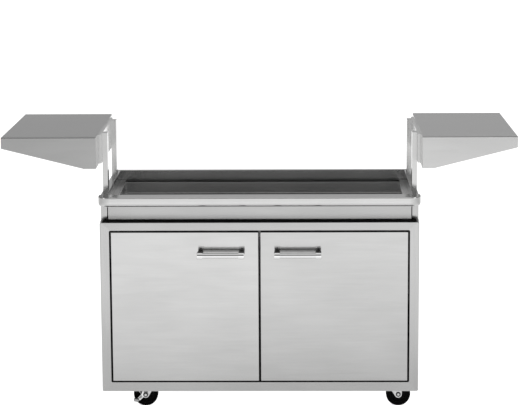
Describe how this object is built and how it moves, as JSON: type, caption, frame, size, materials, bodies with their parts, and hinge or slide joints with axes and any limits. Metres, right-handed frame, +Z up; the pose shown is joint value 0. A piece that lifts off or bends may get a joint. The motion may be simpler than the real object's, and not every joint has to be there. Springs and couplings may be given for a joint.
{
  "type": "grill base cabinet",
  "caption": "Stainless grill cart base on casters, with double doors, a slide-out drip tray under a rounded nose, and two wedge-shaped side shelves on posts.",
  "frame": {"origin": "on the floor under the middle of the object's bounding box", "axes": "+X to the right as seen from the front, +Y to the back, +Z up; the doors face -Y"},
  "size_m": [1.631, 0.6735, 0.897],
  "materials": {
    "stainless": "brushed stainless sheet, grain along X",
    "polished": "polished",
    "zinc_plate": "bright zinc plating",
    "galvanised": "dull galvanised sheet",
    "tyre": "solid rubber",
    "black_plastic": "moulded, fine grain",
    "black_rubber": "moulded"
  },
  "bodies": {
    "cabinet": {"face_frame": "stainless", "left_side_panel": "stainless", "right_side_panel": "stainless", "back_panel": "stainless", "floor_pan": "stainless", "top_deck": "stainless", "left_neck_cheek": "stainless", "right_neck_cheek": "stainless", "neck_back_rail": "stainless", "tray_runners": "galvanised", "door_stop": "galvanised", "magnetic_catches": "black_plastic", "hinge_bushes": "galvanised", "tank_ring": "galvanised", "hose_grommet": "black_rubber", "left_shelf": "stainless", "right_shelf": "stainless", "left_shelf_rail": "stainless", "right_shelf_rail": "stainless", "left_shelf_posts": "stainless", "right_shelf_posts": "stainless", "shelf_bolts": "zinc_plate", "caster_doublers": "galvanised", "caster_plates": "zinc_plate", "caster_kingpins": "zinc_plate", "caster_bolts": "zinc_plate"},
    "left_door": {"left_door_skin": "stainless", "left_door_liner": "stainless", "left_handle_bar": "polished", "left_handle_brackets": "polished", "left_strike_plate": "zinc_plate", "left_hinge_pins": "zinc_plate"},
    "right_door": {"right_door_skin": "stainless", "right_door_liner": "stainless", "right_handle_bar": "polished", "right_handle_brackets": "polished", "right_strike_plate": "zinc_plate", "right_hinge_pins": "zinc_plate"},
    "drip_tray": {"drip_tray_pan": "stainless", "drip_tray_front": "stainless", "drip_tray_nose": "stainless"},
    "front_left_swivel": {"front_left_fork": "zinc_plate", "front_left_axle": "zinc_plate"},
    "front_left_wheel": {"front_left_tyre": "tyre", "front_left_hub": "black_plastic"},
    "front_left_brake": {"front_left_brake_lever": "zinc_plate"},
    "front_right_swivel": {"front_right_fork": "zinc_plate", "front_right_axle": "zinc_plate"},
    "front_right_wheel": {"front_right_tyre": "tyre", "front_right_hub": "black_plastic"},
    "rear_left_swivel": {"rear_left_fork": "zinc_plate", "rear_left_axle": "zinc_plate"},
    "rear_left_wheel": {"rear_left_tyre": "tyre", "rear_left_hub": "black_plastic"},
    "rear_left_brake": {"rear_left_brake_lever": "zinc_plate"},
    "rear_right_swivel": {"rear_right_fork": "zinc_plate", "rear_right_axle": "zinc_plate"},
    "rear_right_wheel": {"rear_right_tyre": "tyre", "rear_right_hub": "black_plastic"}
  },
  "joints": [
    {"name": "left_door_hinge", "type": "hinge", "parent": "cabinet", "child": "left_door", "pos_m": [-0.4602, -0.26825, 0.3475], "axis": [0, 0, -1], "range_deg": [0, 110]},
    {"name": "right_door_hinge", "type": "hinge", "parent": "cabinet", "child": "right_door", "pos_m": [0.4602, -0.26825, 0.3475], "axis": [0, 0, 1], "range_deg": [0, 110]},
    {"name": "drip_tray_slide", "type": "slide", "parent": "cabinet", "child": "drip_tray", "axis": [0, -1, 0], "range_m": [0, 0.36]},
    {"name": "front_left_swivel_turn", "type": "hinge", "parent": "cabinet", "child": "front_left_swivel", "pos_m": [-0.411, -0.17925, 0.08], "axis": [0, 0, 1], "continuous": true},
    {"name": "front_left_wheel_spin", "type": "hinge", "parent": "front_left_swivel", "child": "front_left_wheel", "pos_m": [-0.3745, -0.17925, 0.0395], "axis": [0, 1, 0], "continuous": true},
    {"name": "front_left_brake_turn", "type": "hinge", "parent": "front_left_swivel", "child": "front_left_brake", "pos_m": [-0.3745, -0.17925, 0.0395], "axis": [0, 1, 0], "range_deg": [0, 25]},
    {"name": "front_right_swivel_turn", "type": "hinge", "parent": "cabinet", "child": "front_right_swivel", "pos_m": [0.411, -0.17925, 0.08], "axis": [0, 0, 1], "continuous": true},
    {"name": "front_right_wheel_spin", "type": "hinge", "parent": "front_right_swivel", "child": "front_right_wheel", "pos_m": [0.4475, -0.17925, 0.0395], "axis": [0, 1, 0], "continuous": true},
    {"name": "rear_left_swivel_turn", "type": "hinge", "parent": "cabinet", "child": "rear_left_swivel", "pos_m": [-0.411, 0.23675, 0.08], "axis": [0, 0, 1], "continuous": true},
    {"name": "rear_left_wheel_spin", "type": "hinge", "parent": "rear_left_swivel", "child": "rear_left_wheel", "pos_m": [-0.3745, 0.23675, 0.0395], "axis": [0, 1, 0], "continuous": true},
    {"name": "rear_left_brake_turn", "type": "hinge", "parent": "rear_left_swivel", "child": "rear_left_brake", "pos_m": [-0.3745, 0.23675, 0.0395], "axis": [0, 1, 0], "range_deg": [0, 25]},
    {"name": "rear_right_swivel_turn", "type": "hinge", "parent": "cabinet", "child": "rear_right_swivel", "pos_m": [0.411, 0.23675, 0.08], "axis": [0, 0, 1], "continuous": true},
    {"name": "rear_right_wheel_spin", "type": "hinge", "parent": "rear_right_swivel", "child": "rear_right_wheel", "pos_m": [0.4475, 0.23675, 0.0395], "axis": [0, 1, 0], "continuous": true}
  ]
}
